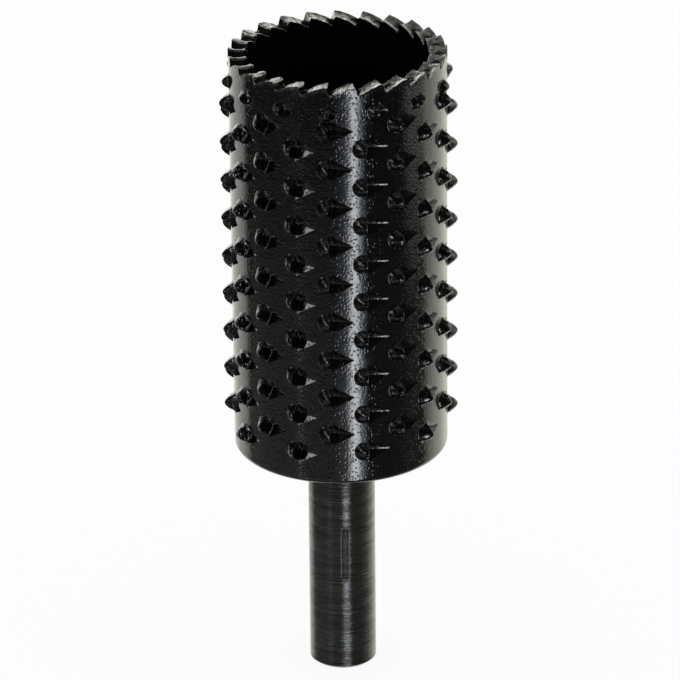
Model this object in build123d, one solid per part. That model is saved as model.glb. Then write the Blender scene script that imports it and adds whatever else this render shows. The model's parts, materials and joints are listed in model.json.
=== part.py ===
from build123d import *
import math
import os

# Rotary rasp: a hollow toothed drum riveted to a plain round shank.
# Lengths are in millimetres and angles in degrees.
# The origin is the centre of the shank's free end. +Z runs up the axis to the drum's open rim.
# A bearing is the angle round the axis from the front (-Y) towards +X, the way every tooth cuts.

# Shank
SHANK_DIAMETER = 8.0
SHANK_LENGTH = 28.7
SHANK_END_CHAMFER = 0.3

# Drum: a cup with one wall and one base
DRUM_DIAMETER = 25.4
DRUM_HEIGHT = 50.0
WALL = 1.95
BASE_THICKNESS = 3.0
BASE_CORNER_RADIUS = 0.7
INSIDE_CORNER_WIDTH = 1.2
BORE_ABOVE_HEAD = 0.2

# Rasp teeth: a slanting punch raises each one from the wall and leaves a pit in front of it
TOOTH_COLUMNS = 19
TOOTH_PITCH = 4.76
TOOTH_BEARING = -4.3
LOWEST_TOOTH = 6.5
TOOTH_ZONE_BOTTOM = 3.6
TOOTH_ZONE_TOP = 45.6
TOOTH_WIDTH = 2.8
TOOTH_RISE = 1.25
TOOTH_SIDES = 6
TOOTH_LEAN = 17.0
PIT_DEPTH = 0.7
PIT_LENGTH = 2.7

# Small teeth: one ring between the rasp teeth and the rim
SMALL_TOOTH_COUNT = 14
SMALL_TOOTH_BEARING = -4.0
SMALL_TOOTH_BELOW_RIM = 3.3
SMALL_TOOTH_SCALE = 0.72

# Rim teeth: saw teeth ground into the open end
RIM_TOOTH_COUNT = 25
RIM_TOOTH_BEARING = -5.2
RIM_TOOTH_DEPTH = 1.15
RIM_FACE_SLANT = 12.0

# Riveted joint: a spigot with two flats goes through the base and is headed over inside
SPIGOT_DIAMETER = 6.0
SPIGOT_ACROSS_FLATS = 5.0
SPIGOT_CLEARANCE = 0.05
WASHER_DIAMETER = 14.0
WASHER_THICKNESS = 1.2
WASHER_EDGE_CHAMFER = 0.2
RIVET_HEAD_DIAMETER = 9.0
RIVET_TOP_DIAMETER = 6.0
RIVET_HEAD_HEIGHT = 1.8

# How far a cutting tool is drawn past the surface that it opens
TOOL_OVERRUN = 1.0

OUTER_RADIUS = DRUM_DIAMETER / 2
INNER_RADIUS = OUTER_RADIUS - WALL
DRUM_FLOOR = SHANK_LENGTH + BASE_THICKNESS
WASHER_TOP = DRUM_FLOOR + WASHER_THICKNESS
RIM_HEIGHT = SHANK_LENGTH + DRUM_HEIGHT
# The straight bore begins just above the rivet head, so that a peg can fill the whole of it.
INSIDE_CORNER_HEIGHT = WASHER_THICKNESS + RIVET_HEAD_HEIGHT + BORE_ABOVE_HEAD
FROM_BELOW = (Align.CENTER, Align.CENTER, Align.MIN)


def at_bearing(shape, bearing, height=0.0):
    """Turns a shape that was built on the +X side to a bearing, and lifts it."""
    return Pos(0, 0, height) * Rot(0, 0, bearing - 90) * shape


def double_flat_bar(diameter, across_flats, length):
    """A round bar with two parallel flats, standing on the XY plane."""
    bar = Cylinder(diameter / 2, length, align=FROM_BELOW)
    return bar & Box(diameter, across_flats, length, align=FROM_BELOW)


def cutting_plane():
    """The plane of a tooth's cutting face, which crosses the wall's surface on the +X side.

    Its X is the drum's axis, its Y leans back out of the wall and its Z points the way of cut.
    """
    lean = math.radians(TOOTH_LEAN)
    forward = (math.sin(lean), math.cos(lean), 0)
    return Plane(origin=(OUTER_RADIUS, 0, 0), x_dir=(0, 0, 1), z_dir=forward)


def raised_tooth(size):
    """A low pyramid on the wall, cut through its widest line by the leaning cutting plane.

    Its rearward side meets that plane in the cutting edge, which sets how high the pyramid's peak is.
    """
    half_width = TOOTH_WIDTH * size / 2
    rearward = half_width * math.cos(math.pi / TOOTH_SIDES)
    rise = TOOTH_RISE * size
    root = PIT_DEPTH * size
    peak = 1 / (1 / rise - math.tan(math.radians(TOOTH_LEAN)) / rearward)
    foot = RegularPolygon(half_width * (1 + root / peak), TOOTH_SIDES)
    clear_of_edge = (rise + peak) / 2
    pyramid = extrude(foot, root + clear_of_edge, taper=math.degrees(math.atan(rearward / peak)))
    stand = Plane(origin=(OUTER_RADIUS - root, 0, 0), x_dir=(0, 0, 1), z_dir=(1, 0, 0))
    return split(stand * pyramid, bisect_by=cutting_plane(), keep=Keep.BOTTOM)


def punched_pit(size):
    """The three-sided pit in front of a tooth, deepest at the cutting face."""
    half_width = TOOTH_WIDTH * size / 2
    depth = PIT_DEPTH * size
    above = TOOL_OVERRUN * size
    mouth = half_width * (1 + above / depth)
    face = cutting_plane() * make_face(Polyline((0, -depth), (mouth, above), (-mouth, above), close=True))
    swing = PIT_LENGTH * size / OUTER_RADIUS
    point = Vertex(OUTER_RADIUS * math.cos(swing), OUTER_RADIUS * math.sin(swing), 0)
    return loft([face.face(), point])


def tooth_places():
    """Bearing and height of every rasp tooth: the columns climb a helix, half a pitch apart."""
    starts = TOOTH_COLUMNS // 2 + 1
    for column in range(TOOTH_COLUMNS):
        bearing = TOOTH_BEARING + column * 360 / TOOTH_COLUMNS
        height = LOWEST_TOOTH + column * starts * TOOTH_PITCH / TOOTH_COLUMNS
        height -= math.floor((height - TOOTH_ZONE_BOTTOM) / TOOTH_PITCH) * TOOTH_PITCH
        while height < TOOTH_ZONE_TOP:
            yield bearing, SHANK_LENGTH + height
            height += TOOTH_PITCH


def small_tooth_places():
    """Bearing and height of every small tooth below the rim."""
    for index in range(SMALL_TOOTH_COUNT):
        bearing = SMALL_TOOTH_BEARING + index * 360 / SMALL_TOOTH_COUNT
        yield bearing, RIM_HEIGHT - SMALL_TOOTH_BELOW_RIM


def rim_gullet():
    """The wedge ground away between two rim teeth, on the +X side at the rim's height."""
    pitch = 2 * math.pi * OUTER_RADIUS / RIM_TOOTH_COUNT
    face_run = RIM_TOOTH_DEPTH * math.tan(math.radians(RIM_FACE_SLANT))
    root = (face_run, -RIM_TOOTH_DEPTH)
    profile = Polyline((0, 0), root, (pitch, 0), (pitch, TOOL_OVERRUN), (0, TOOL_OVERRUN), close=True)
    side = Plane(origin=(OUTER_RADIUS + TOOL_OVERRUN, 0, RIM_HEIGHT), x_dir=(0, 1, 0), z_dir=(1, 0, 0))
    return extrude(side * make_face(profile), -(WALL + 2 * TOOL_OVERRUN))


def drum_hollow():
    """The space inside the drum: a short cone in the corner of the floor, then the straight bore."""
    floor_radius = INNER_RADIUS - INSIDE_CORNER_WIDTH
    corner = Cone(floor_radius, INNER_RADIUS, INSIDE_CORNER_HEIGHT, align=FROM_BELOW)
    bore = Cylinder(INNER_RADIUS, DRUM_HEIGHT, align=FROM_BELOW)
    return Pos(0, 0, BASE_THICKNESS) * (corner + Pos(0, 0, INSIDE_CORNER_HEIGHT) * bore)


def drum_cup():
    """The plain cup: wall, base, the hole for the spigot and the eased corners."""
    cup = Cylinder(OUTER_RADIUS, DRUM_HEIGHT, align=FROM_BELOW)
    cup = fillet(cup.edges().group_by(Axis.Z)[0], BASE_CORNER_RADIUS)
    play = 2 * SPIGOT_CLEARANCE
    hole = double_flat_bar(SPIGOT_DIAMETER + play, SPIGOT_ACROSS_FLATS + play, BASE_THICKNESS)
    return Pos(0, 0, SHANK_LENGTH) * (cup - drum_hollow() - hole)


def make_rasp_drum():
    """The drum: one cup with its pits, raised teeth and rim teeth."""
    pits = []
    teeth = []
    for size, places in ((1.0, tooth_places()), (SMALL_TOOTH_SCALE, small_tooth_places())):
        pit = punched_pit(size)
        tooth = raised_tooth(size)
        for bearing, height in places:
            pits.append(at_bearing(pit, bearing, height))
            teeth.append(at_bearing(tooth, bearing, height))
    gullets = []
    for index in range(RIM_TOOTH_COUNT):
        gullets.append(at_bearing(rim_gullet(), RIM_TOOTH_BEARING + index * 360 / RIM_TOOTH_COUNT))
    return drum_cup() - pits - gullets + teeth


def make_shank():
    """The shank: a plain pin, its shoulder under the drum, the spigot and the rivet head."""
    pin = Cylinder(SHANK_DIAMETER / 2, SHANK_LENGTH, align=FROM_BELOW)
    pin = chamfer(pin.edges().group_by(Axis.Z)[0], SHANK_END_CHAMFER)
    grip = WASHER_TOP - SHANK_LENGTH
    spigot = Pos(0, 0, SHANK_LENGTH) * double_flat_bar(SPIGOT_DIAMETER, SPIGOT_ACROSS_FLATS, grip)
    head = Cone(RIVET_HEAD_DIAMETER / 2, RIVET_TOP_DIAMETER / 2, RIVET_HEAD_HEIGHT, align=FROM_BELOW)
    return pin + spigot + Pos(0, 0, WASHER_TOP) * head


def make_rivet_washer():
    """The washer between the drum's floor and the rivet head."""
    disc = Cylinder(WASHER_DIAMETER / 2, WASHER_THICKNESS, align=FROM_BELOW)
    disc = chamfer(disc.edges(), WASHER_EDGE_CHAMFER)
    hole = Cylinder(SPIGOT_DIAMETER / 2 + SPIGOT_CLEARANCE, WASHER_THICKNESS, align=FROM_BELOW)
    return Pos(0, 0, DRUM_FLOOR) * (disc - hole)


os.makedirs("parts", exist_ok=True)
export_step(make_rasp_drum(), "parts/rasp_drum.step")
export_step(make_shank(), "parts/shank.step")
export_step(make_rivet_washer(), "parts/rivet_washer.step")
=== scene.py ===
"""Looks of the rotary rasp: lacquered toothed drum, ground rim, turned shank and its studio.

Lengths are millimetres and become metres when a mesh is written. In the drum's classes a height is
above the drum's underside, and elsewhere it is above the shank's free end. A bearing is the angle
round the axis from the front (-Y) towards +X, the way every tooth cuts.
"""
import json
import logging
import math
from dataclasses import dataclass
from enum import Enum

import bpy
import numpy as np
from mathutils import Matrix, Vector

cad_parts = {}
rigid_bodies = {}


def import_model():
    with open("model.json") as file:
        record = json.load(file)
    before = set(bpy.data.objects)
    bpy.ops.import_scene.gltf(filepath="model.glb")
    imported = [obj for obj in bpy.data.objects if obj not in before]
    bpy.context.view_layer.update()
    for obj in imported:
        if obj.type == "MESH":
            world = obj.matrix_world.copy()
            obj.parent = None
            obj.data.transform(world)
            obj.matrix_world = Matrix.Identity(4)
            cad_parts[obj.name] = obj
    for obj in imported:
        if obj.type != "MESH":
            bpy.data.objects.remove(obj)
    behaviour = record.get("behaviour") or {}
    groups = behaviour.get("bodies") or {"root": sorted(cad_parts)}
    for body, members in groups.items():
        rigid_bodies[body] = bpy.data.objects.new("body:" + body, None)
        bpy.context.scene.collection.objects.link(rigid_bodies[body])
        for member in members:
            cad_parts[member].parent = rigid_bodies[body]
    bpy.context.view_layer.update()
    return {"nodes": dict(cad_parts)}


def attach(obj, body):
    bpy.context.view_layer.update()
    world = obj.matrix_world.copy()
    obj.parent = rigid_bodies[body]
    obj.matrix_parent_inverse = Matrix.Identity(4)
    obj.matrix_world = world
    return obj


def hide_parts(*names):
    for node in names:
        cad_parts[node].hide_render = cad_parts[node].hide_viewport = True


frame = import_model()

MM = 0.001
BODY = "root"
FULL_TURN = 2 * math.pi
# Degrees from the horizon straight up.
UPRIGHT = 90.0
# A relief smaller than this counts as the plain wall.
LEVEL = 1e-3
# A point this close to the wall's radius, in metres, lies on the wall.
ON_RADIUS_M = 1e-6
# Stands in for zero in a division or a comparison.
TINY = 1e-9

Array = np.ndarray
Inputs = dict[str | int, object]
Material = bpy.types.Material
Object = bpy.types.Object
Socket = bpy.types.NodeSocket
Triple = tuple[float, float, float]

log = logging.getLogger("rasp")


class Slot(Enum):
    """The record's material slots that the pieces take their finish from."""

    LACQUER = "black_lacquer"
    SHANK = "blackened_steel"
    WASHER = "plain_steel"


# Meshes


def ring_points(radius: Array, bearing: Array, height: Array) -> Array:
    """Points at a radius, a bearing in radians and a height: (r sin b, -r cos b, z)."""
    radius, bearing, height = np.broadcast_arrays(radius, bearing, height)
    return np.stack([radius * np.sin(bearing), -radius * np.cos(bearing), height], axis=-1)


def grid_triangles(points: Array, close_rows: bool) -> tuple[Array, Array]:
    """Two triangles for each cell of a grid that is closed round its columns.

    Each cell is cut along its shorter diagonal, so that a crease through corners stays straight.

    Args:
        points: grid of points, rows by columns by 3.
        close_rows: whether the last row joins the first.

    Returns:
        The triangles' point numbers, and the row of the cell that each one came from.
    """
    rows, columns = points.shape[:2]
    number = np.arange(rows * columns).reshape(rows, columns)
    last = rows if close_rows else rows - 1
    a, d = number[:last], np.roll(number, -1, axis=0)[:last]
    b, c = np.roll(a, -1, axis=1), np.roll(d, -1, axis=1)
    flat = points.reshape(-1, 3)
    ac, bd = (np.linalg.norm(flat[p] - flat[q], axis=-1) for p, q in ((a, c), (b, d)))
    corners = np.where(ac <= bd, [[a, b, c], [a, c, d]], [[a, b, d], [b, c, d]])
    return corners.transpose(2, 3, 0, 1).reshape(-1, 3), np.repeat(np.arange(last), 2 * columns)


def read(items: bpy.types.bpy_prop_collection, name: str, kind: type, width: int = 1) -> Array:
    """Reads one property of every item, such as a corner's edge number."""
    values = np.empty(width * len(items), dtype=kind)
    items.foreach_get(name, values)
    return values.reshape(-1, width).squeeze()


def keep_outline_sharp(mesh: bpy.types.Mesh, plain: Array) -> None:
    """Marks the edges between the plain wall and a pit or tooth as sharp.

    Args:
        mesh: a mesh of triangles.
        plain: whether each triangle is plain wall.
    """
    edge_of = read(mesh.loops, "edge_index", np.int32)
    sharp = read(mesh.edges, "use_edge_sharp", bool)
    on_wall = plain.repeat(3)
    at_wall, at_tooth = (
        np.bincount(edge_of[side], minlength=len(sharp)) > 0 for side in (on_wall, ~on_wall)
    )
    mesh.edges.foreach_set("use_edge_sharp", sharp | (at_wall & at_tooth))


def set_wall_normals(mesh: bpy.types.Mesh, radius: float) -> None:
    """Gives every triangle that lies on a cylinder about Z the cylinder's own normals.

    A normal there is (x, y, 0) over its length. All other corners keep the normal they have.

    Args:
        mesh: a mesh of triangles, with its sharp edges marked.
        radius: the cylinder's radius.
    """
    normals = read(mesh.corner_normals, "vector", np.float32, 3)
    at = read(mesh.vertices, "co", np.float32, 3)[read(mesh.loops, "vertex_index", np.int32)]
    out = np.hypot(at[:, 0], at[:, 1])
    near = np.abs(out.reshape(-1, 3) - radius * MM) < ON_RADIUS_M
    on_wall = near.all(axis=1).repeat(3)
    normals[on_wall] = (at * (1, 1, 0) / np.maximum(out, TINY)[:, None])[on_wall]
    mesh.normals_split_custom_set(normals)


def write_piece(
    name: str,
    points: Array,
    triangles: Array,
    materials: list[Material],
    sharp_over: float,
    material_of: Array | None = None,
    plain: Array | None = None,
    wall_radius: float | None = None,
) -> Object:
    """Writes points and triangles into a new smooth-shaded object at the origin, faces outward.

    Args:
        name: the piece's name.
        points: in millimetres.
        triangles: of a closed mesh, all facing one way.
        materials: the piece's materials.
        sharp_over: angle in degrees past which an edge stays sharp.
        material_of: the material number of each triangle, if not the first.
        plain: whether each triangle is plain wall, to keep the edges round it sharp.
        wall_radius: radius of a wall that gets exact normals.

    Returns:
        The new object.
    """
    p, q, r = (points[triangles[:, k]] for k in range(3))
    # The volume, a sum of p . (q x r), is below 0 where the faces look inward.
    if np.einsum("ij,ij->i", p, np.cross(q, r)).sum() < 0:
        triangles = triangles[:, ::-1]
    mesh = bpy.data.meshes.new(name)
    mesh.from_pydata((points * MM).tolist(), [], triangles.tolist(), shade_flat=False)
    for material in materials:
        mesh.materials.append(material)
    if material_of is not None:
        mesh.polygons.foreach_set("material_index", material_of.astype(np.int32))
    mesh.validate()
    mesh.set_sharp_from_angle(angle=math.radians(sharp_over))
    if plain is not None:
        keep_outline_sharp(mesh, plain)
    if wall_radius is not None:
        set_wall_normals(mesh, wall_radius)
    piece = bpy.data.objects.new(name, mesh)
    bpy.context.scene.collection.objects.link(piece)
    return piece


# Finishes


@dataclass(frozen=True)
class Grain:
    """Noise in a finish: about the width of one patch, its octaves, and its bump's depth."""

    size: float
    detail: float
    depth: float = 0.0
    stretch: Triple = (1.0, 1.0, 1.0)


@dataclass(frozen=True)
class Ramp:
    """A map of a value from one range to another, held at both ends."""

    low: float
    high: float
    to_low: float = 0.0
    to_high: float = 1.0
    smooth: bool = True


class NodeBook:
    """Adds nodes to one tree and joins them."""

    gap: int = 200
    in_a_row: int = 8

    def __init__(self, tree: bpy.types.NodeTree) -> None:
        """Starts on an emptied tree."""
        tree.nodes.clear()
        self.tree = tree

    def add(self, kind: str, inputs: Inputs | None = None, **settings: object) -> bpy.types.Node:
        """Adds a node, sets its properties and then feeds its inputs.

        Args:
            kind: the node's type, without ShaderNode.
            inputs: an output socket to join or a value to set, by the input's name or number.
            settings: the node's properties.

        Returns:
            The node.
        """
        node = self.tree.nodes.new("ShaderNode" + kind)
        row, place = divmod(len(self.tree.nodes), self.in_a_row)
        node.location = (self.gap * place, -self.gap * row)
        for key, value in settings.items():
            setattr(node, key, value)
        for key, value in (inputs or {}).items():
            if isinstance(value, Socket):
                self.tree.links.new(value, node.inputs[key])
            else:
                node.inputs[key].default_value = value
        return node

    def math(self, operation: str, first: object, second: object = 0.0) -> Socket:
        """Works out one operation on values or sockets."""
        return self.add("Math", {0: first, 1: second}, operation=operation).outputs[0]

    def times(self, first: object, second: object) -> Socket:
        """Multiplies two values or sockets."""
        return self.math("MULTIPLY", first, second)

    def plus(self, first: object, second: object) -> Socket:
        """Adds two values or sockets."""
        return self.math("ADD", first, second)

    def coordinates(self, kind: str = "Object") -> tuple[Socket, list[Socket]]:
        """The shaded point's place, as one vector and as its X, Y and Z."""
        place = self.add("TexCoord").outputs[kind]
        return place, list(self.add("SeparateXYZ", {0: place}).outputs)

    def from_axis(self, x: Socket, y: Socket) -> Socket:
        """Distance from the axis: the root of x squared plus y squared."""
        return self.math("SQRT", self.plus(self.times(x, x), self.times(y, y)))

    def ramp(self, value: Socket, ramp: Ramp) -> Socket:
        """Maps a value from one range to another."""
        inputs = {"Value": value, "From Min": ramp.low, "From Max": ramp.high}
        inputs |= {"To Min": ramp.to_low, "To Max": ramp.to_high}
        easing = "SMOOTHSTEP" if ramp.smooth else "LINEAR"
        return self.add("MapRange", inputs, interpolation_type=easing).outputs["Result"]

    def noise(self, place: Socket, grain: Grain) -> Socket:
        """Noise in three dimensions, at a place in metres."""
        stretched = self.add("Mapping", {"Scale": grain.stretch, "Vector": place}).outputs[0]
        inputs = {"Scale": 1.0 / (grain.size * MM), "Detail": grain.detail, "Vector": stretched}
        return self.add("TexNoise", inputs).outputs[0]

    def lines(self, along: Socket, grain: Grain) -> Socket:
        """Noise along one coordinate in metres."""
        inputs = {"W": along, "Scale": 1.0 / (grain.size * MM), "Detail": grain.detail}
        return self.add("TexNoise", inputs, noise_dimensions="1D").outputs[0]

    def bump(self, height: Socket, depth: float, over: Socket | None = None) -> Socket:
        """A bump as deep as `depth` where the height is 1, added to an earlier bump's normal."""
        inputs = {"Strength": 1.0, "Distance": depth * MM, "Height": height}
        inputs |= {} if over is None else {"Normal": over}
        return self.add("Bump", inputs).outputs[0]

    def blend(self, share: Socket, first: Triple, second: Triple) -> Socket:
        """Mixes two colours, the first where the share is 0."""
        inputs = {"Factor": share, "A": (*first, 1.0), "B": (*second, 1.0)}
        return self.add("Mix", inputs, data_type="RGBA").outputs["Result"]

    def either(self, share: Socket, first: Socket, second: Socket) -> Socket:
        """Mixes two shaders, the first where the share is 0."""
        return self.add("MixShader", {0: share, 1: first, 2: second}).outputs[0]

    def surface(self, shader: Socket, output: str = "OutputMaterial") -> None:
        """Makes a shader the tree's surface."""
        self.add(output, {"Surface": shader})


def new_material(name: str) -> tuple[Material, NodeBook]:
    """Starts a material without nodes, and the book that fills it."""
    made = bpy.data.materials.new(name)
    made.use_nodes = True
    return made, NodeBook(made.node_tree)


@dataclass(frozen=True)
class Lacquer:
    """Gloss black lacquer with a fine orange peel, as on the drum."""

    name: str = Slot.LACQUER.value
    colour: Triple = (0.0016, 0.0016, 0.0018)
    wall_radius: float = 12.7
    off_wall: tuple[float, float] = (0.02, 0.3)
    lumps: Grain = Grain(0.4, 1.0, 0.045)
    lumps_in_pits: float = 0.35
    waves: Grain = Grain(2.2, 1.0, 0.012)
    peel: Grain = Grain(0.3, 1.5, 0.0098)
    speck_size: float = 0.36
    speck_depth: float = 0.014
    speck_form: Ramp = Ramp(0.18, 0.47, -1.0, 0.0)
    speck_choice: Ramp = Ramp(0.25, 0.6)
    speck_dulling: float = 0.5
    gloss: float = 0.5
    patches: Grain = Grain(0.45, 2.0)
    patch_gloss: Ramp = Ramp(0.42, 0.6, -0.32, 0.3)
    haze: Grain = Grain(1.1, 3.0)
    roughness: Ramp = Ramp(0.35, 0.7, 0.09, 0.16)

    def material(self) -> Material:
        """Builds the lacquer: a dark gloss that slow waves, peel and dull sunk specks break up.

        On the teeth and in the pits, off the wall's radius, it has also dried in small lumps, and
        on the teeth its gloss is patchy.

        Returns:
            The finish.
        """
        made, book = new_material(self.name)
        place, (x, y, _) = book.coordinates()
        relief = book.math("SUBTRACT", book.from_axis(x, y), self.wall_radius * MM)
        near, far = (reach * MM for reach in self.off_wall)
        raised = book.ramp(relief, Ramp(near, far))
        sunk = book.ramp(relief, Ramp(-far, -near, self.lumps_in_pits, 0.0))
        lumps = book.times(book.noise(place, self.lumps), book.plus(raised, sunk))
        normal = book.bump(lumps, self.lumps.depth)
        for grain in (self.waves, self.peel):
            normal = book.bump(book.noise(place, grain), grain.depth, normal)
        inputs = {"Vector": place, "Scale": 1.0 / (self.speck_size * MM)}
        dots = book.add("TexVoronoi", inputs).outputs
        draw = book.add("SeparateColor", {0: dots["Color"]}).outputs[0]
        form = book.ramp(dots["Distance"], self.speck_form)
        specks = book.times(form, book.ramp(draw, self.speck_choice))
        patches = book.ramp(book.noise(place, self.patches), self.patch_gloss)
        gloss = book.plus(book.times(patches, raised), self.gloss)
        dulling = book.plus(book.times(specks, self.speck_dulling), 1.0)
        inputs = {
            "Base Color": (*self.colour, 1.0),
            "Specular IOR Level": book.times(gloss, dulling),
            "Roughness": book.ramp(book.noise(place, self.haze), self.roughness),
            "Normal": book.bump(specks, self.speck_depth, normal),
        }
        book.surface(book.add("BsdfPrincipled", inputs).outputs[0])
        return made


@dataclass(frozen=True)
class GroundSteel:
    """Bare steel ground on a wheel: mottled, with fine lines round the rim."""

    name: str = "ground_steel"
    colour: Triple = (0.34, 0.332, 0.314)
    roughness: float = 0.33
    duller: float = 0.1
    darker: float = 0.5
    mottle: Grain = Grain(0.5, 3.0)
    mottle_tone: Ramp = Ramp(0.38, 0.62)
    mottle_range: tuple[float, float] = (0.3, 0.7)
    lines: Grain = Grain(1 / 9, 2.0, 0.006)

    def material(self) -> Material:
        """Builds the ground steel: metal with grinding lines by radius and a mottled tone.

        Returns:
            The finish.
        """
        made, book = new_material(self.name)
        place, (x, y, _) = book.coordinates()
        lines = book.lines(book.from_axis(x, y), self.lines)
        mottle = book.noise(place, self.mottle)
        dark = tuple(self.darker * part for part in self.colour)
        dull = Ramp(*self.mottle_range, self.roughness + self.duller, self.roughness)
        inputs = {
            "Base Color": book.blend(book.ramp(mottle, self.mottle_tone), dark, self.colour),
            "Metallic": 1.0,
            "Roughness": book.ramp(mottle, dull),
            "Normal": book.bump(lines, self.lines.depth),
        }
        book.surface(book.add("BsdfPrincipled", inputs).outputs[0])
        return made


@dataclass(frozen=True)
class TurnedSteel:
    """Blackened steel off the lathe: glossy, with fine rings round the axis."""

    name: str = Slot.SHANK.value
    dark: Triple = (0.009, 0.009, 0.0082)
    worn: Triple = (0.022, 0.022, 0.02)
    wear: Ramp = Ramp(0.4, 0.6)
    roughness: float = 0.05
    duller: float = 0.05
    dull_range: tuple[float, float] = (0.35, 0.65)
    sheen: float = 0.5
    ring_sheen: Ramp = Ramp(0.4, 0.6, 0.5, 1.2)
    band_sheen: Ramp = Ramp(0.4, 0.58, 0.6, 1.1)
    rings: Grain = Grain(0.13, 3.0, 0.05)
    ring_share: float = 0.6
    patches: Grain = Grain(0.3, 2.0, stretch=(0.16, 0.16, 1.0))
    bands: Grain = Grain(0.7, 1.0, stretch=(0.1, 0.1, 1.0))
    pores: Grain = Grain(0.25, 2.0, 0.002)

    def material(self) -> Material:
        """Builds the turned steel.

        Its rings are noise in height alone, broken up by patches that are drawn out round it.

        Returns:
            The finish.
        """
        made, book = new_material(self.name)
        place, (_, _, height) = book.coordinates()
        rings = book.lines(height, self.rings)
        patches, bands = book.noise(place, self.patches), book.noise(place, self.bands)
        broken = book.times(patches, 1 - self.ring_share)
        turned = book.plus(book.times(rings, self.ring_share), broken)
        pores = book.bump(book.noise(place, self.pores), self.pores.depth)
        sheen = book.times(book.ramp(rings, self.ring_sheen), book.ramp(bands, self.band_sheen))
        dull = Ramp(*self.dull_range, self.roughness, self.roughness + self.duller)
        inputs = {
            "Base Color": book.blend(book.ramp(turned, self.wear), self.dark, self.worn),
            "Specular IOR Level": book.times(sheen, self.sheen),
            "Roughness": book.ramp(patches, dull),
            "Normal": book.bump(turned, self.rings.depth, pores),
        }
        book.surface(book.add("BsdfPrincipled", inputs).outputs[0])
        return made


# Teeth


def soft_max(first: Array, second: Array, reach: Array | float) -> Array:
    """The larger of two heights, with a fillet where they differ by less than a reach.

    The fillet adds (reach less their difference) squared over four times the reach.
    """
    near = np.maximum(reach - np.abs(first - second), 0)
    return np.maximum(first, second) + near**2 / (4 * np.maximum(reach, TINY))


@dataclass(frozen=True)
class ToothForm:
    """One punched tooth and its pit, as a height over the wall by place.

    y runs the way of cut from the line where the cutting face crosses the wall, and v runs up the
    wall. A reach is that of a fillet, and a fade is the height or way over which a fillet grows.
    """

    half_width: float = 1.4
    back: float = 1.58
    rise: float = 1.25
    tip_radius: float = 0.43
    tip_fall: float = 0.2
    side_run: float = 0.976
    lean: float = 0.18
    bulge: float = 0.3
    pit_depth: float = 0.7
    pit_length: float = 2.65
    tip_reach: float = 0.18
    edge_reach: float = 0.16
    edge_fade: float = 0.35
    fold_reach: float = 0.5
    fold_fade: float = 0.3
    face_fade: float = 0.05
    foot_reach: float = 0.11
    crest_steps: int = 400

    def body(self, y: Array, v: Array) -> Array:
        """Height of the raised half cone behind the cutting face.

        At height h its plan is a circle of radius a - k h about y = -c h, so h solves a quadratic.
        A parabola over v rounds the tip, a factor of 1 + b (1 - h / rise) bulges the sides, and
        the foot runs out into the wall.

        Args:
            y: place along the way of cut.
            v: place up the wall.

        Returns:
            The height, 0 outside the tooth's foot.
        """
        a, k, c = self.half_width, self.side_run, self.lean
        stretched = np.where(y < 0, y * a / self.back, y)
        square = k * k - c * c
        linear = 2 * (c * stretched + a * k)
        constant = stretched**2 + v**2 - a * a
        root = np.sqrt(np.maximum(linear**2 + 4 * square * constant, 0))
        cone = (linear - root) / (2 * square)
        behind_tip = np.maximum(-y - c * self.rise, 0)
        cap = self.rise - v**2 / (2 * self.tip_radius) - self.tip_fall * behind_tip
        raised = -soft_max(-cone, -cap, self.tip_reach)
        raised = raised * (1 + self.bulge * (1 - np.clip(raised / self.rise, 0, 1)))
        return soft_max(raised, np.zeros_like(raised), self.foot_reach)

    @property
    def full_depth(self) -> float:
        """Depth D of the pit's crease at y = 0. It meets the face at the pit's own depth."""
        return self.pit_depth / (1 - self.lean * self.pit_depth / self.pit_length)

    def pit(self, y: Array, v: Array) -> Array:
        """Depth of the pit: two planes that meet in a crease, D (1 - y/L - |v|/a), or 0."""
        left = 1 - y / self.pit_length - np.abs(v) / self.half_width
        return np.maximum(self.full_depth * left, 0)

    def relief(self, y: Array, v: Array) -> Array:
        """Height over the wall: the leaning face -y/c, under the body and over the pit.

        Both joins have a fillet, which fades where the body or the pit ends and behind the face.

        Args:
            y: place along the way of cut.
            v: place up the wall.

        Returns:
            The height, below 0 in the pit.
        """
        face = -y / self.lean
        body, pit = self.body(y, v), self.pit(y, v)
        at_edge = self.edge_reach * np.clip(body / self.edge_fade, 0, 1)
        at_fold = self.fold_reach * np.clip(pit / self.fold_fade, 0, 1)
        upper = -soft_max(-face, -body, at_edge)
        return soft_max(upper, -pit, at_fold * np.clip(y / self.face_fade, 0, 1))

    def fold_line(self, share: Array) -> Array:
        """Place y = c h where the face meets the pit: there h = D (1 - c h / L - share)."""
        slope = 1 + self.full_depth * self.lean / self.pit_length
        return self.lean * np.maximum(self.full_depth * (1 - np.abs(share)) / slope, 0)

    def crest_line(self, share: Array) -> Array:
        """Place y of the cutting edge: the face y = -c h is followed up until it leaves the body.

        Args:
            share: of the half width, up or down from the middle.

        Returns:
            The place.
        """
        h = np.linspace(0, self.rise, self.crest_steps)
        v = (share * self.half_width)[:, None]
        inside = self.body(-self.lean * h[None, :], v) >= h[None, :]
        last = inside.shape[1] - 1 - inside[:, ::-1].argmax(1)
        return -self.lean * h[np.where(inside.any(1), last, 0)]


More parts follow.
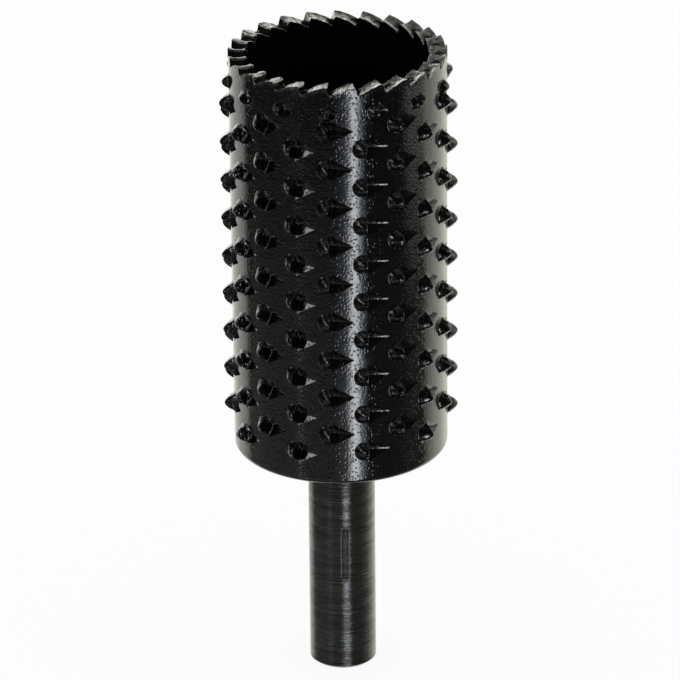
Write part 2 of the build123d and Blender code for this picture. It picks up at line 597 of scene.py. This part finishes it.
@dataclass(frozen=True)
class DrumSizes:
    """Sizes of the drum that its wall and its rim share.

    The teeth of one column lie `climb` rows above those of the column before.
    """

    radius: float = 12.7
    inner_radius: float = 10.75
    underside: float = 28.7
    height: float = 50.0
    columns: int = 19
    pitch: float = 4.76
    climb: int = 10
    bearing: float = -4.3
    lowest: float = 6.5
    zone_bottom: float = 3.6
    zone_top: float = 45.6
    seam_row: int = 150
    cell_start: float = -1.55
    tooth: ToothForm = ToothForm()

    @property
    def row_step(self) -> float:
        """Height between two rows of the grid: the pitch over the number of columns."""
        return self.pitch / self.columns

    @property
    def seam(self) -> float:
        """Height at which the rim's ring takes over from the wall."""
        return self.lowest + self.row_step * self.seam_row

    @property
    def cell(self) -> float:
        """Width of one tooth column round the wall."""
        return FULL_TURN * self.radius / self.columns


# Pieces


@dataclass(frozen=True)
class DrumWall:
    """The drum from its underside up to the seam: wall, teeth, pits, base and inside.

    `on_back`, `on_face` and `past_fold` place the grid's columns: shares of the way from foot to
    edge and from edge to fold, and ways past the fold.
    `inside` runs down the bore and under the base, by way in from the bore and height.
    """

    sizes: DrumSizes = DrumSizes()
    half_rows: int = 6
    first_row: int = -18
    settled_over: int = 3
    start_bow: float = 0.2
    before_foot: tuple[float, ...] = (0.12, 0.05)
    on_back: tuple[float, ...] = (0.01, 0.07, 0.14, 0.4, 0.65, 0.82, 0.9, 0.955, 0.985)
    on_face: tuple[float, ...] = (0.03, 0.09, 0.2, 0.5, 0.76, 0.88, 0.96)
    past_fold: tuple[float, ...] = (0.02, 0.07, 0.16)
    least_face: float = 0.02
    least_back: float = 0.12
    back_growth: float = 0.5
    to_crease: float = 0.45
    to_crease_last: tuple[float, float] = (0.2, 0.0)
    ease_in: float = 0.2
    ease_out: float = 0.5
    corner_radius: float = 0.7
    corner_steps: int = 7
    skirt_top: float = 1.3
    sharp_over: float = 80.0
    inside: tuple[tuple[float, float], ...] = (
        (0.0, 30.0), (0.0, 16.0), (0.0, 6.35), (0.04, 6.05), (1.14, 3.15), (1.3, 3.0),
        (3.75, 3.0), (7.7, 3.0), (7.7, 0.0), (3.75, 0.0),
    )

    def toothed_rows(self) -> tuple[Array, Array, Array]:
        """The outer wall's rows, whose columns follow the foot, edge and fold of each tooth.

        A row's place is counted from the nearest tooth of its column. Columns also lie where the
        pit's outline crosses the rows, and the rows are drawn in a little so that the sixth one
        lies on the tooth's corner.

        Returns:
            Relief, bearing and height of each point, rows by columns.
        """
        size, tooth = self.sizes, self.sizes.tooth
        rows = np.arange(self.first_row, size.seam_row + 1)
        column = np.arange(size.columns)
        half, middle = size.columns // 2, size.columns / 2
        off = (rows[:, None] - size.climb * column + half) % size.columns - half
        rows_off = np.abs(off)
        centre = size.lowest + size.row_step * (rows[:, None] - off)
        there = (centre >= size.zone_bottom) & (centre < size.zone_top)
        past = (middle - rows_off) / (middle - self.half_rows)
        reach = np.minimum(rows_off / self.half_rows, past)
        near_seam = np.clip((size.seam_row - rows[:, None]) / self.settled_over, 0, 1)
        short = tooth.half_width - size.row_step * self.half_rows
        drawn = np.where(there, short * np.sign(off) * reach * near_seam, 0.0)
        above = size.row_step * off + drawn
        inside = np.minimum(np.abs(above / tooth.half_width), 1.0)
        crest = tooth.crest_line(inside.ravel()).reshape(inside.shape)
        crest = -np.maximum(-crest, self.least_face)
        fold = np.maximum(tooth.fold_line(inside), self.least_face)
        outer = np.maximum(rows_off - self.half_rows, 0) / (half - self.half_rows)
        least_back = self.least_back + self.back_growth * outer
        foot = -np.maximum(tooth.back * np.sqrt(1 - inside**2), least_back)
        start = size.cell_start - self.start_bow * (1 - rows_off / middle)
        places = [start, *(foot - way for way in self.before_foot)]
        places += [foot + (crest - foot) * part for part in self.on_back]
        places += [crest + (fold - crest) * part for part in self.on_face]
        in_pit = len(places)
        places += [fold + way for way in self.past_fold]
        for row in range(1, self.half_rows):
            places.append(np.full_like(foot, tooth.pit_length * row / self.half_rows))
        y = np.stack(places, axis=-1)
        near_crease = np.zeros(y.shape[-1])
        near_crease[in_pit:] = self.to_crease
        near_crease[-2:] = self.to_crease_last
        above = above[..., None] * (1 - near_crease * (rows_off == 1)[..., None])
        relief = np.where(there[..., None], tooth.relief(y, above), 0.0)
        ease = np.clip((y - start[..., None]) / self.ease_in, 0, 1)
        ease = ease * np.clip((tooth.pit_length - y) / self.ease_out, 0, 1)
        moved = np.where(there[..., None], above - (size.row_step * off)[..., None], 0.0)
        height = (size.lowest + size.row_step * rows)[:, None, None] + moved * ease
        at = np.radians(size.bearing + column * 360 / size.columns)
        bearing = at[:, None] + y / size.radius
        shape = (len(rows), -1)
        return relief.reshape(shape), bearing.reshape(shape), height.reshape(shape)

    def build(self, lacquer: Material) -> Object:
        """Builds the wall as one closed grid: the toothed rows, then the rest of the cup's profile.

        Args:
            lacquer: the drum's finish.

        Returns:
            The piece.
        """
        size, corner = self.sizes, self.corner_radius
        relief, bearing, height = self.toothed_rows()
        in_cell = relief.shape[1] // size.columns
        column = np.arange(size.columns)[:, None]
        even = size.cell_start + np.arange(in_cell) * size.cell / in_cell
        even = np.radians(size.bearing + column * 360 / size.columns) + even / size.radius
        profile = [(size.inner_radius, size.seam)]
        profile += [(size.inner_radius - way, level) for way, level in self.inside]
        for turn in np.linspace(0, math.pi / 2, self.corner_steps):
            out, up = corner * math.sin(turn) - corner, corner - corner * math.cos(turn)
            profile.append((size.radius + out, up))
        profile.append((size.radius, self.skirt_top))
        around = np.array(profile)
        plain = ring_points(around[:, :1], even.ravel()[None, :], around[:, 1:])
        points = np.concatenate([ring_points(size.radius + relief, bearing, height), plain])
        points[..., 2] += size.underside
        triangles, _ = grid_triangles(points, close_rows=True)
        over_wall = np.concatenate([relief.ravel(), np.zeros(plain[..., 0].size)])
        is_plain = (np.abs(over_wall[triangles]) <= LEVEL).all(axis=1)
        piece = write_piece(
            "drum_wall", points.reshape(-1, 3), triangles, [lacquer], self.sharp_over,
            plain=is_plain, wall_radius=size.radius,
        )
        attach(piece, BODY)
        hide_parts("rasp_drum")
        return piece


@dataclass(frozen=True)
class DrumRim:
    """The drum's top: the last teeth, the ring of small teeth and the ground saw teeth.

    Each of the `waves` of its ground faces has a height, a count round the drum and a slope across
    the wall. A swing is how far a wave takes the number before it up and down.
    """

    sizes: DrumSizes = DrumSizes()
    small: ToothForm = ToothForm(
        half_width=1.1, back=1.35, rise=0.85, tip_radius=0.36, pit_depth=0.42, pit_length=1.15
    )
    small_count: int = 14
    small_bearing: float = -4.0
    small_height: float = 46.65
    saw_count: int = 25
    saw_bearing: float = -5.2
    saw_depth: float = 1.15
    steps_per_saw_tooth: int = 60
    sharp_over: float = 35.0
    face_share: float = 0.07
    ramp_power: float = 1.6
    uneven: float = 1.4
    uneven_from: float = 5.0
    tip_loss: float = 0.054
    loss_swing: float = 0.036
    loss_waves: tuple[int, int] = (7, 3)
    loss_bend: float = 2.0
    worn_over: float = 0.011
    worn_places: int = 9
    row_step: float = 0.125
    plain_from: float = 47.95
    plain_parts: tuple[float, ...] = (0.0, 0.3, 0.6, 0.8, 0.9, 0.96, 1.0)
    lip: float = 0.035
    lip_swing: float = 0.028
    lip_power: int = 8
    lip_slope: float = 3.0
    edge: float = 0.05
    inward: tuple[float, ...] = (0.12, 0.25, 0.4, 0.55, 0.7, 0.82, 0.905)
    inner_drop: float = 0.12
    trough: float = 0.3
    trough_power: float = 0.8
    trough_at_tip: float = 0.5
    trough_growth: float = 0.8
    wheel_line: float = 0.03
    burr: float = 0.045
    waves: tuple[Triple, ...] = ((1.0, 97, 1.3), (0.6, 211, -4.1), (0.5, 58, 2.9))
    # Crescents of black lacquer painted into the ramps as shade: how wide, how sharp, how much
    # wider towards one side, and the bearing of that side.
    shade_crescent: float = 0.3
    shade_crescent_power: float = 0.7
    shade_crescent_swing: float = 0.9
    shade_crescent_most: float = 85.0

    def saw_share(self, bearing: Array) -> Array:
        """Share of the way from one tip to the next. A slow wave, twice round, shifts the tips."""
        wave = np.sin(2 * (bearing - math.radians(self.uneven_from)))
        turned = bearing - math.radians(self.uneven) * wave - math.radians(self.saw_bearing)
        return (turned * self.saw_count / FULL_TURN) % 1.0

    def saw(self, bearing: Array) -> Array:
        """Height of the rim's top, by bearing.

        It falls steeply from a tip to the root and climbs to the next along a rounded ramp: depth
        times (1 - w) to a power, where w is the share of the ramp. The mean of places side by side
        rounds the tips and roots, and a slow wave takes a little off the tips.

        Args:
            bearing: in radians.

        Returns:
            The height.
        """
        beside = np.linspace(-self.worn_over, self.worn_over, self.worn_places)
        u = self.saw_share(bearing + beside.reshape(-1, *(1 for _ in bearing.shape)))
        ramp = np.clip((u - self.face_share) / (1 - self.face_share), 0, 1)
        climb = (1 - ramp) ** self.ramp_power
        drop = np.where(u < self.face_share, u / self.face_share, climb).mean(axis=0)
        turns, bends = self.loss_waves
        wave = np.sin(turns * bearing + self.loss_bend * np.sin(bends * bearing))
        lost = self.tip_loss + self.loss_swing * wave
        return self.sizes.height - self.saw_depth * drop - lost * (1 - drop)

    def wander(self, bearing: Array, across: Array) -> Array:
        """A small unevenness, up to 1.1 either way: one wave times another, and a third added."""
        first, second, third = (
            high * np.sin(count * bearing + slope * across) for high, count, slope in self.waves
        )
        return first * second + third

    def relief(self, bearing: Array, height: Array) -> Array:
        """Height over the wall of the rasp teeth and small teeth, whichever stands out more.

        Args:
            bearing: in radians.
            height: above the underside.

        Returns:
            The relief.
        """
        size = self.sizes
        turn = (bearing - math.radians(size.bearing)) / (FULL_TURN / size.columns)
        reliefs = []
        for ahead in (0, 1):
            column = (np.floor(turn) + ahead) % size.columns
            first = size.lowest + column * size.climb * size.row_step
            last = np.ceil((size.zone_top - first) / size.pitch) - 1
            count = np.minimum(np.round((height - first) / size.pitch), last)
            y = (turn % 1.0 - ahead) * size.cell
            reliefs.append(size.tooth.relief(y, height - first - count * size.pitch))
        gap = FULL_TURN / self.small_count
        turn = (bearing - math.radians(self.small_bearing) + gap / 2) % gap - gap / 2
        reliefs.append(self.small.relief(turn * size.radius, height - self.small_height))
        raised = np.maximum.reduce(reliefs)
        return np.where(raised > TINY, raised, np.minimum.reduce(reliefs))

    def ground_rows(self, bearing: Array, top: Array) -> tuple[Array, Array]:
        """The rim's ground top, which slopes inwards and is hollow.

        The trough is (4 s (1 - s)) to a power, where s is the share of the way across, and deeper
        where the saw tooth is low.

        Args:
            bearing: of each column, in radians.
            top: the rim's height at each column.

        Returns:
            The points, and how far the last row lies below the top.
        """
        size = self.sizes
        wall = size.radius - size.inner_radius
        half = np.array([self.edge, *self.inward])
        across = np.concatenate([half, [wall / 2], wall - half[::-1]])
        share = across / wall
        hollow = self.trough * (4 * share * (1 - share)) ** self.trough_power
        low = (size.height - top) / self.saw_depth
        deeper = self.trough_at_tip + self.trough_growth * low
        fall = self.inner_drop * share[:, None] + hollow[:, None] * deeper
        fall[len(across) // 2] -= self.wheel_line
        fall += self.burr * self.wander(bearing[None, :], across[:, None])
        return ring_points(size.radius - across[:, None], bearing, top - fall), fall[-1]

    def ground_triangles(self, centre: Array) -> Array:
        """Tells the ground ramps from the steep faces and from the ramps' crescents of black
        lacquer, which are painted shade.

        Each of these crescents is widest in the middle of the wall and at one side of the drum.

        Args:
            centre: the middle of each triangle of the rim's top.

        Returns:
            Whether each one is ground bare.
        """
        size = self.sizes
        x, y, _ = centre.T
        turned = np.arctan2(x, -y)
        wall = size.radius - size.inner_radius
        inward = np.clip((size.radius - np.hypot(x, y)) / wall, 0, 1)
        # Painted shade: the ramp keeps its black lacquer across this width, which grows towards one
        # side of the drum.
        painted_shade_width = self.shade_crescent * (4 * inward * (1 - inward)) ** self.shade_crescent_power
        side = np.cos(turned - math.radians(self.shade_crescent_most))
        painted_shade_width = painted_shade_width * (1 + self.shade_crescent_swing * side)
        return self.saw_share(turned) > self.face_share + painted_shade_width

    def build(self, lacquer: Material, ground: Material) -> Object:
        """Builds the rim as one closed grid: outside, ground top, inside and the hidden seam.

        Args:
            lacquer: the drum's finish.
            ground: the finish of the ground top.

        Returns:
            The piece.
        """
        size = self.sizes
        steps = self.saw_count * self.steps_per_saw_tooth
        bearing = np.linspace(0, FULL_TURN, steps, endpoint=False)
        top = self.saw(bearing)
        toothed = np.arange(size.seam, self.plain_from, self.row_step)[:, None]
        relief = self.relief(bearing[None, :], toothed)
        outside = ring_points(size.radius + relief, bearing, toothed)
        part = np.array(self.plain_parts)[:, None]
        wave = self.wander(bearing[None, :], self.lip_slope * part)
        rolled = part**self.lip_power * (self.lip + self.lip_swing * wave)
        rise = (top - self.edge - self.plain_from) * part
        upper = ring_points(size.radius + rolled, bearing, self.plain_from + rise)
        face, fall = self.ground_rows(bearing, top)
        inner_top = top - fall - self.edge
        down = (size.seam - inner_top) * part**2
        inner = ring_points(size.inner_radius, bearing, inner_top + down)
        points = np.concatenate([outside, upper, face, inner])
        points[..., 2] += size.underside
        triangles, source = grid_triangles(points, close_rows=True)
        flat = points.reshape(-1, 3)
        first = len(outside) + len(upper) - 1
        on_top = (source >= first) & (source < first + len(face) + 1)
        is_ground = on_top & self.ground_triangles(flat[triangles].mean(axis=1))
        piece = write_piece(
            "drum_rim", flat, triangles, [lacquer, ground], self.sharp_over,
            material_of=is_ground, wall_radius=size.radius,
        )
        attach(piece, BODY)
        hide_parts("rasp_drum")
        return piece


@dataclass(frozen=True)
class Shank:
    """The shank: pin, spigot and headed-over end, with a bare panel marked out on the pin."""

    radius: float = 4.0
    length: float = 28.7
    chamfer: float = 0.3
    spigot_radius: float = 3.0
    washer_top: float = 32.9
    head_radius: float = 4.5
    head_height: float = 1.8
    head_steps: int = 8
    columns: int = 160
    panel_columns: int = 45
    panel_bearing: float = 5.0
    panel_bottom: float = 12.0
    panel_top: float = 18.8
    panel_half_width: float = 0.38
    panel_depth: float = 0.03
    panel_line: float = 0.06
    panel_margin: float = 0.3
    panel_row: float = 0.07
    plain_rows: tuple[int, int] = (6, 8)
    plain_gap: float = 0.4
    skin: float = 0.1
    merge_places: int = 6
    sharp_over: float = 35.0

    def from_border(self, bearing: Array, height: Array) -> Array:
        """Distance from an upright obround: that to its middle line, less its half width.

        Args:
            bearing: in radians.
            height: above the free end.

        Returns:
            The distance, below 0 inside.
        """
        across = bearing - math.radians(self.panel_bearing)
        across = (across + math.pi) % FULL_TURN - math.pi
        low = self.panel_bottom + self.panel_half_width
        high = self.panel_top - self.panel_half_width
        past = height - np.clip(height, low, high)
        return np.hypot(across * self.radius, past) - self.panel_half_width

    def profile(self) -> Array:
        """The shank's outline from its free end up to the top of the headed-over end.

        Returns:
            Radius and height of each point.
        """
        below, above = self.plain_rows
        low, high = self.panel_bottom, self.panel_top
        levels = np.concatenate([
            np.linspace(self.chamfer, low - self.plain_gap, below),
            np.arange(low - self.panel_margin, high + self.panel_margin, self.panel_row),
            np.linspace(high + self.plain_gap, self.length, above),
        ])
        points = [(0.0, 0.0), (self.radius - self.chamfer, 0.0)]
        points += [(self.radius, level) for level in levels]
        points += [(self.spigot_radius, self.length), (self.spigot_radius, self.washer_top)]
        for turn in np.linspace(0, math.pi / 2, self.head_steps):
            out, up = self.head_radius * math.cos(turn), self.head_height * math.sin(turn)
            points.append((out, self.washer_top + up))
        return np.array(points)

    def build(self, steel: Material, pressed: Material) -> Object:
        """Builds the shank as a profile turned round the axis, with the panel's line pressed in.

        The line is a bell curve of the distance from the panel's border. Points in one place, as
        at the pole, become one, and triangles without an area go.

        Args:
            steel: the shank's finish.
            pressed: the duller finish inside the panel.

        Returns:
            The piece.
        """
        middle = math.radians(self.panel_bearing)
        near = 2 * self.panel_half_width / self.radius
        fine = np.linspace(middle - near, middle + near, self.panel_columns)
        plain = np.linspace(middle + near, middle - near + FULL_TURN, self.columns)[1:-1]
        bearing = np.concatenate([fine, plain])[None, :]
        profile = self.profile()
        radius, height = profile[:, :1], profile[:, 1:]
        off = self.from_border(bearing, height) / self.panel_line
        depth = self.panel_depth * np.exp(-(off**2)) * (radius == self.radius)
        points = ring_points(radius - depth, bearing, height)
        triangles, _ = grid_triangles(points, close_rows=False)
        flat = points.reshape(-1, 3)
        a, b, c = (flat[triangles[:, k]] for k in range(3))
        area = np.linalg.norm(np.cross(b - a, c - a), axis=1)
        _, first, number = np.unique(
            np.round(flat, self.merge_places), axis=0, return_index=True, return_inverse=True
        )
        flat, triangles = flat[first], number.ravel()[triangles[area > TINY]]
        x, y, z = flat[triangles].mean(axis=1).T
        inside = self.from_border(np.arctan2(x, -y), z) < 0
        inside &= np.hypot(x, y) > self.radius - self.skin
        piece = write_piece(
            "shank_turned", flat, triangles, [steel, pressed], self.sharp_over, material_of=inside
        )
        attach(piece, BODY)
        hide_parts("shank")
        return piece


# Studio


@dataclass(frozen=True)
class Card:
    """A reflecting card, by azimuth in degrees from the camera's side towards +X.

    A slant moves its first edge for each degree above the camera's line.
    """

    start: float
    end: float
    strength: float
    soft: float
    tint: Triple = (1.0, 1.0, 1.0)
    low: float = -UPRIGHT
    high: float = UPRIGHT
    soft_height: float = 8.0
    slant: float = 0.0

    def light(self, book: NodeBook, azimuth: Socket, height: Socket, from_view: Socket) -> Socket:
        """Builds the card's light, which fades over its soft borders.

        Args:
            book: the world's nodes.
            azimuth: of the ray.
            height: elevation of the ray.
            from_view: degrees above the camera's line.

        Returns:
            The light's colour.
        """
        leaning = book.math("SUBTRACT", azimuth, book.times(from_view, self.slant))
        first = Ramp(self.start - self.soft, self.start + self.soft, 0.0, self.strength)
        last = Ramp(self.end - self.soft, self.end + self.soft, 1.0, 0.0)
        light = book.times(book.ramp(leaning, first), book.ramp(azimuth, last))
        for at, under, over in ((self.low, 0.0, 1.0), (self.high, 1.0, 0.0)):
            if abs(at) < UPRIGHT:
                fade = Ramp(at - self.soft_height, at + self.soft_height, under, over)
                light = book.times(light, book.ramp(height, fade))
        inputs = {0: self.tint, "Scale": light}
        return book.add("VectorMath", inputs, operation="SCALE").outputs[0]


WHITE = (1.0, 1.0, 1.0, 1.0)
WARM = (1.0, 1.01, 0.93)
WARMER = (1.0, 1.01, 0.88)


@dataclass(frozen=True)
class Studio:
    """Pale floor, soft light from cards all round, and the camera at the photographed angle.

    The floor's half width and the camera's clipping are in metres.
    """

    distance: float = 637.25
    elevation: float = 23.948
    roll: float = -0.557
    aim: Triple = (-0.0225, 0.0, 41.72)
    lens: float = 284.8
    sensor: float = 36.0
    clip: tuple[float, float] = (0.01, 10.0)
    plain_light: float = 0.9
    ambient: float = 0.035
    slant_span: float = 3.0
    slant_above: tuple[float, float] = (-25.9, -25.5)
    floor_gap: float = 0.03
    floor_half_width: float = 3.0
    floor_tone: float = 0.95
    floor_glow: float = 0.9
    cards: tuple[Card, ...] = (
        Card(-112, 4, 0.35, 8, low=-62, high=-23.4, soft_height=2.2),
        Card(20, 104, 0.1, 8, low=-62, high=-23.4, soft_height=2.2),
        Card(-47, -42, 2.4, 1.5, low=-48, high=-26.3, soft_height=0.3),
        Card(-54, -40, 5.0, 4, low=8, high=23.5, soft_height=4),
        Card(-71, -55, 5.5, 4, low=13, high=23.5, soft_height=3),
        Card(-60, -36, 0.25, 8, low=-16, high=12),
        Card(10.5, 19.5, 9.5, 2.5, (0.95, 1.0, 1.04), low=-48, high=-6, slant=1.3),
        Card(11, 24, 2.8, 5, (0.9, 1.0, 1.09), low=-48, high=-6, slant=1.3),
        Card(-1, 16, 0.44, 6, (0.93, 1.0, 1.05), low=-48, high=-6, slant=1.3),
        Card(-181, -118, 1.25, 6, WARM, high=27),
        Card(-96, -58, 1.5, 6, WARM, low=18, high=42),
        Card(104.5, 181, 1.0, 5, WARMER, high=27),
        Card(114, 158, 0.5, 8, WARMER, high=27),
        Card(74, 104, 0.9, 6, WARM, low=8, high=40),
        Card(95.5, 109, 1.1, 5, WARM, low=-21.9, high=27, soft_height=0.5, slant=-7.5),
        Card(-181, -140, 1.45, 8, low=-7, high=30, soft_height=6),
        Card(152, 181, 1.25, 8, low=-7, high=30, soft_height=6),
        Card(-200, 200, 0.4, 4, low=64),
    )

    def build_camera(self) -> None:
        """Places the scene's camera from the fitted distance, elevation and roll."""
        tilted = Matrix.Rotation(math.pi / 2 - math.radians(self.elevation), 4, "X")
        turned = tilted @ Matrix.Rotation(math.radians(self.roll), 4, "Z")
        place = (Vector(self.aim) + self.distance * turned.col[2].xyz) * MM
        data = bpy.data.cameras.new("camera")
        data.lens = self.lens
        data.sensor_width = self.sensor
        data.sensor_fit = "HORIZONTAL"
        data.clip_start, data.clip_end = self.clip
        camera = bpy.data.objects.new("camera", data)
        camera.matrix_world = Matrix.Translation(place) @ turned
        bpy.context.scene.collection.objects.link(camera)
        bpy.context.scene.camera = camera

    def reflected(self, book: NodeBook) -> Socket:
        """Adds up the light of all cards on a faint ambient light.

        Args:
            book: the world's nodes.

        Returns:
            The light's colour.
        """
        _, (x, y, z) = book.coordinates("Generated")
        azimuth = book.math("DEGREES", book.math("ARCTAN2", x, book.times(y, -1.0)))
        height = book.math("DEGREES", book.math("ARCSINE", z))
        line, span = -self.elevation, self.slant_span
        from_view = book.ramp(height, Ramp(line - span, line + span, -span, span, smooth=False))
        from_view = book.times(from_view, book.ramp(height, Ramp(*self.slant_above)))
        total = (self.ambient,) * 3
        for card in self.cards:
            inputs = {0: card.light(book, azimuth, height, from_view), 1: total}
            total = book.add("VectorMath", inputs, operation="ADD").outputs[0]
        return total

    def build_light(self) -> None:
        """Builds the world: white behind, plain for diffuse light, and cards for reflections."""
        world = bpy.data.worlds.new("studio_light")
        bpy.context.scene.world = world
        world.use_nodes = True
        book = NodeBook(world.node_tree)
        cards = book.add("Background", {"Color": self.reflected(book)}).outputs[0]
        plain = book.add("Background", {"Color": WHITE, "Strength": self.plain_light}).outputs[0]
        white = book.add("Background", {"Color": WHITE}).outputs[0]
        path = book.add("LightPath").outputs
        light = book.either(path["Is Glossy Ray"], plain, cards)
        seen = book.either(path["Is Camera Ray"], light, white)
        book.surface(seen, "OutputWorld")

    def build_floor(self) -> None:
        """Builds the pale floor just under the shank's free end. From below it is clear."""
        mesh = bpy.data.meshes.new("floor")
        edge, low = self.floor_half_width, -self.floor_gap * MM
        corners = [(-edge, -edge, low), (edge, -edge, low), (edge, edge, low), (-edge, edge, low)]
        mesh.from_pydata(corners, [], [(0, 1, 2, 3)])
        made, book = new_material("pale_floor")
        tone = (*[self.floor_tone] * 3, 1.0)
        paper = book.add("BsdfDiffuse", {"Color": tone}).outputs[0]
        glow = book.add("Emission").outputs[0]
        seen = book.add("LightPath").outputs["Is Camera Ray"]
        above = book.either(book.times(seen, self.floor_glow), paper, glow)
        clear = book.add("BsdfTransparent").outputs[0]
        under = book.add("NewGeometry").outputs["Backfacing"]
        book.surface(book.either(under, above, clear))
        mesh.materials.append(made)
        floor = bpy.data.objects.new("floor", mesh)
        floor.visible_glossy = False
        bpy.context.scene.collection.objects.link(floor)


def dress_washer() -> None:
    """Gives the washer, whose solid is shown as it is, a satin plain steel."""
    steel = GroundSteel(Slot.WASHER.value, colour=(0.42, 0.42, 0.43), roughness=0.3).material()
    node = frame["nodes"]["rivet_washer"]
    for item in [node, *node.children_recursive]:
        if item.type == "MESH":
            item.data.materials.clear()
            item.data.materials.append(steel)


def main() -> None:
    """Builds the studio, then the drum, the shank and the washer, and logs each piece's triangles.
    """
    logging.basicConfig(level=logging.INFO, format="%(name)s: %(message)s")
    studio = Studio()
    studio.build_camera()
    studio.build_light()
    studio.build_floor()
    bpy.context.scene.view_settings.view_transform = "Standard"
    lacquer = Lacquer().material()
    ground = GroundSteel().material()
    turned = TurnedSteel().material()
    pressed = TurnedSteel("pressed_steel", roughness=0.2, sheen=0.14).material()
    pieces = [
        DrumWall().build(lacquer),
        DrumRim().build(lacquer, ground),
        Shank().build(turned, pressed),
    ]
    dress_washer()
    for piece in pieces:
        log.info("%s: %d triangles", piece.name, len(piece.data.polygons))


if __name__ == "__main__":
    main()
